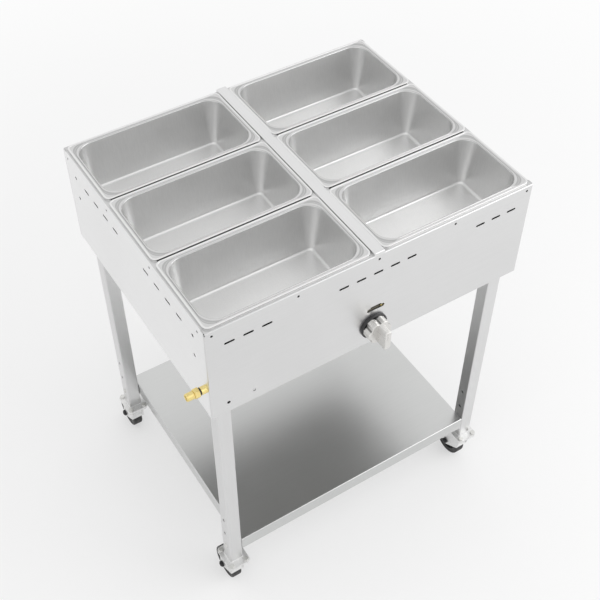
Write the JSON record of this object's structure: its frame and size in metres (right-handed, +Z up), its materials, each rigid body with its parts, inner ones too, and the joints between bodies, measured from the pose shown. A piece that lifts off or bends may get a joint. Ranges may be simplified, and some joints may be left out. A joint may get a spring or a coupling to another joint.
{
  "type": "mobile steam table",
  "caption": "Free-standing gas steam table: a sheet steel cabinet with lift-out food pans over a water tank and burner, on square legs with a low shelf and swivel casters.",
  "frame": {"origin": "on the floor under the middle of the whole table's box, gas inlet and knob included", "axes": "+Z up, +Y from the knob's side to the back, +X to the right as seen from the knob's side"},
  "size_m": [0.72, 0.6296, 0.878],
  "materials": {
    "cabinet_sheet": "fine satin stainless sheet",
    "leg_tube": "satin stainless tube",
    "shelf_sheet": "satin galvanised sheet",
    "divider_steel": "satin stainless sheet",
    "pan_steel": "smooth satin stainless pressing",
    "tank_steel": "plain stainless sheet",
    "plain_steel": "plain sheet steel",
    "zinc": "bright zinc plate",
    "bolt_steel": "plain bolt steel",
    "black_bolt": "black oxide",
    "pipe_metal": "drawn tube",
    "brass": "machined brass",
    "burner_metal": "dark heat-blued steel",
    "black_plastic": "satin black moulding",
    "knob_silver": "silver metallised moulding",
    "wheel_plastic": "dark grey moulding",
    "tyre_rubber": "black rubber"
  },
  "bodies": {
    "frame": {"front_panel": "cabinet_sheet", "back_panel": "cabinet_sheet", "left_panel": "cabinet_sheet", "right_panel": "cabinet_sheet", "divider_bar": "divider_steel", "water_tank": "tank_steel", "corner_gussets": "plain_steel", "foot_plates": "zinc", "shelf": "shelf_sheet", "shelf_bolts": "bolt_steel", "caster_bolts": "bolt_steel", "gas_pipe": "pipe_metal", "pipe_cap": "brass", "pipe_clips": "plain_steel", "inlet_adapter": "brass", "inlet_hex_nut": "brass", "valve_body": "brass", "injector": "brass", "mixing_tube": "burner_metal", "air_shutter": "zinc", "burner_bar": "burner_metal", "burner_hangers": "plain_steel", "knob_bezel": "black_plastic", "leg_front_left": "leg_tube", "leg_front_right": "leg_tube", "leg_back_left": "leg_tube", "leg_back_right": "leg_tube", "caster_plate_front_left": "zinc", "caster_plate_front_right": "zinc", "caster_plate_back_left": "zinc", "caster_plate_back_right": "zinc"},
    "control": {"control_knob": "knob_silver", "valve_stem": "bolt_steel", "knob_set_screw": "bolt_steel"},
    "pan_front_left_lift": {"pan_front_left": "pan_steel"},
    "pan_front_right_lift": {"pan_front_right": "pan_steel"},
    "pan_middle_left_lift": {"pan_middle_left": "pan_steel"},
    "pan_middle_right_lift": {"pan_middle_right": "pan_steel"},
    "pan_back_left_lift": {"pan_back_left": "pan_steel"},
    "pan_back_right_lift": {"pan_back_right": "pan_steel"},
    "caster_front_left": {"caster_fork_front_left": "zinc", "caster_axle_front_left": "black_bolt"},
    "wheel_front_left": {"wheel_core_front_left": "wheel_plastic", "tyre_front_left": "tyre_rubber"},
    "caster_front_right": {"caster_fork_front_right": "zinc", "caster_axle_front_right": "black_bolt"},
    "wheel_front_right": {"wheel_core_front_right": "wheel_plastic", "tyre_front_right": "tyre_rubber"},
    "caster_back_left": {"caster_fork_back_left": "zinc", "caster_axle_back_left": "black_bolt"},
    "wheel_back_left": {"wheel_core_back_left": "wheel_plastic", "tyre_back_left": "tyre_rubber"},
    "caster_back_right": {"caster_fork_back_right": "zinc", "caster_axle_back_right": "black_bolt"},
    "wheel_back_right": {"wheel_core_back_right": "wheel_plastic", "tyre_back_right": "tyre_rubber"}
  },
  "joints": [
    {"name": "control_turn", "type": "hinge", "parent": "frame", "child": "control", "pos_m": [0.0165, -0.2867, 0.6945], "axis": [0, 1, 0], "range_deg": [0, 180]},
    {"name": "pan_front_left_out", "type": "slide", "parent": "frame", "child": "pan_front_left_lift", "axis": [0, 0, 1], "range_m": [0, 0.12]},
    {"name": "pan_front_right_out", "type": "slide", "parent": "frame", "child": "pan_front_right_lift", "axis": [0, 0, 1], "range_m": [0, 0.12]},
    {"name": "pan_middle_left_out", "type": "slide", "parent": "frame", "child": "pan_middle_left_lift", "axis": [0, 0, 1], "range_m": [0, 0.12]},
    {"name": "pan_middle_right_out", "type": "slide", "parent": "frame", "child": "pan_middle_right_lift", "axis": [0, 0, 1], "range_m": [0, 0.12]},
    {"name": "pan_back_left_out", "type": "slide", "parent": "frame", "child": "pan_back_left_lift", "axis": [0, 0, 1], "range_m": [0, 0.12]},
    {"name": "pan_back_right_out", "type": "slide", "parent": "frame", "child": "pan_back_right_lift", "axis": [0, 0, 1], "range_m": [0, 0.12]},
    {"name": "swivel_front_left", "type": "hinge", "parent": "frame", "child": "caster_front_left", "pos_m": [-0.288, -0.2347, 0.085], "axis": [0, 0, 1], "continuous": true},
    {"name": "roll_front_left", "type": "hinge", "parent": "caster_front_left", "child": "wheel_front_left", "pos_m": [-0.288, -0.2087, 0.0375], "axis": [1, 0, 0], "continuous": true},
    {"name": "swivel_front_right", "type": "hinge", "parent": "frame", "child": "caster_front_right", "pos_m": [0.328, -0.2347, 0.085], "axis": [0, 0, 1], "continuous": true},
    {"name": "roll_front_right", "type": "hinge", "parent": "caster_front_right", "child": "wheel_front_right", "pos_m": [0.328, -0.2087, 0.0375], "axis": [1, 0, 0], "continuous": true},
    {"name": "swivel_back_left", "type": "hinge", "parent": "frame", "child": "caster_back_left", "pos_m": [-0.288, 0.2513, 0.085], "axis": [0, 0, 1], "continuous": true},
    {"name": "roll_back_left", "type": "hinge", "parent": "caster_back_left", "child": "wheel_back_left", "pos_m": [-0.288, 0.2773, 0.0375], "axis": [1, 0, 0], "continuous": true},
    {"name": "swivel_back_right", "type": "hinge", "parent": "frame", "child": "caster_back_right", "pos_m": [0.328, 0.2513, 0.085], "axis": [0, 0, 1], "continuous": true},
    {"name": "roll_back_right", "type": "hinge", "parent": "caster_back_right", "child": "wheel_back_right", "pos_m": [0.328, 0.2773, 0.0375], "axis": [1, 0, 0], "continuous": true}
  ]
}
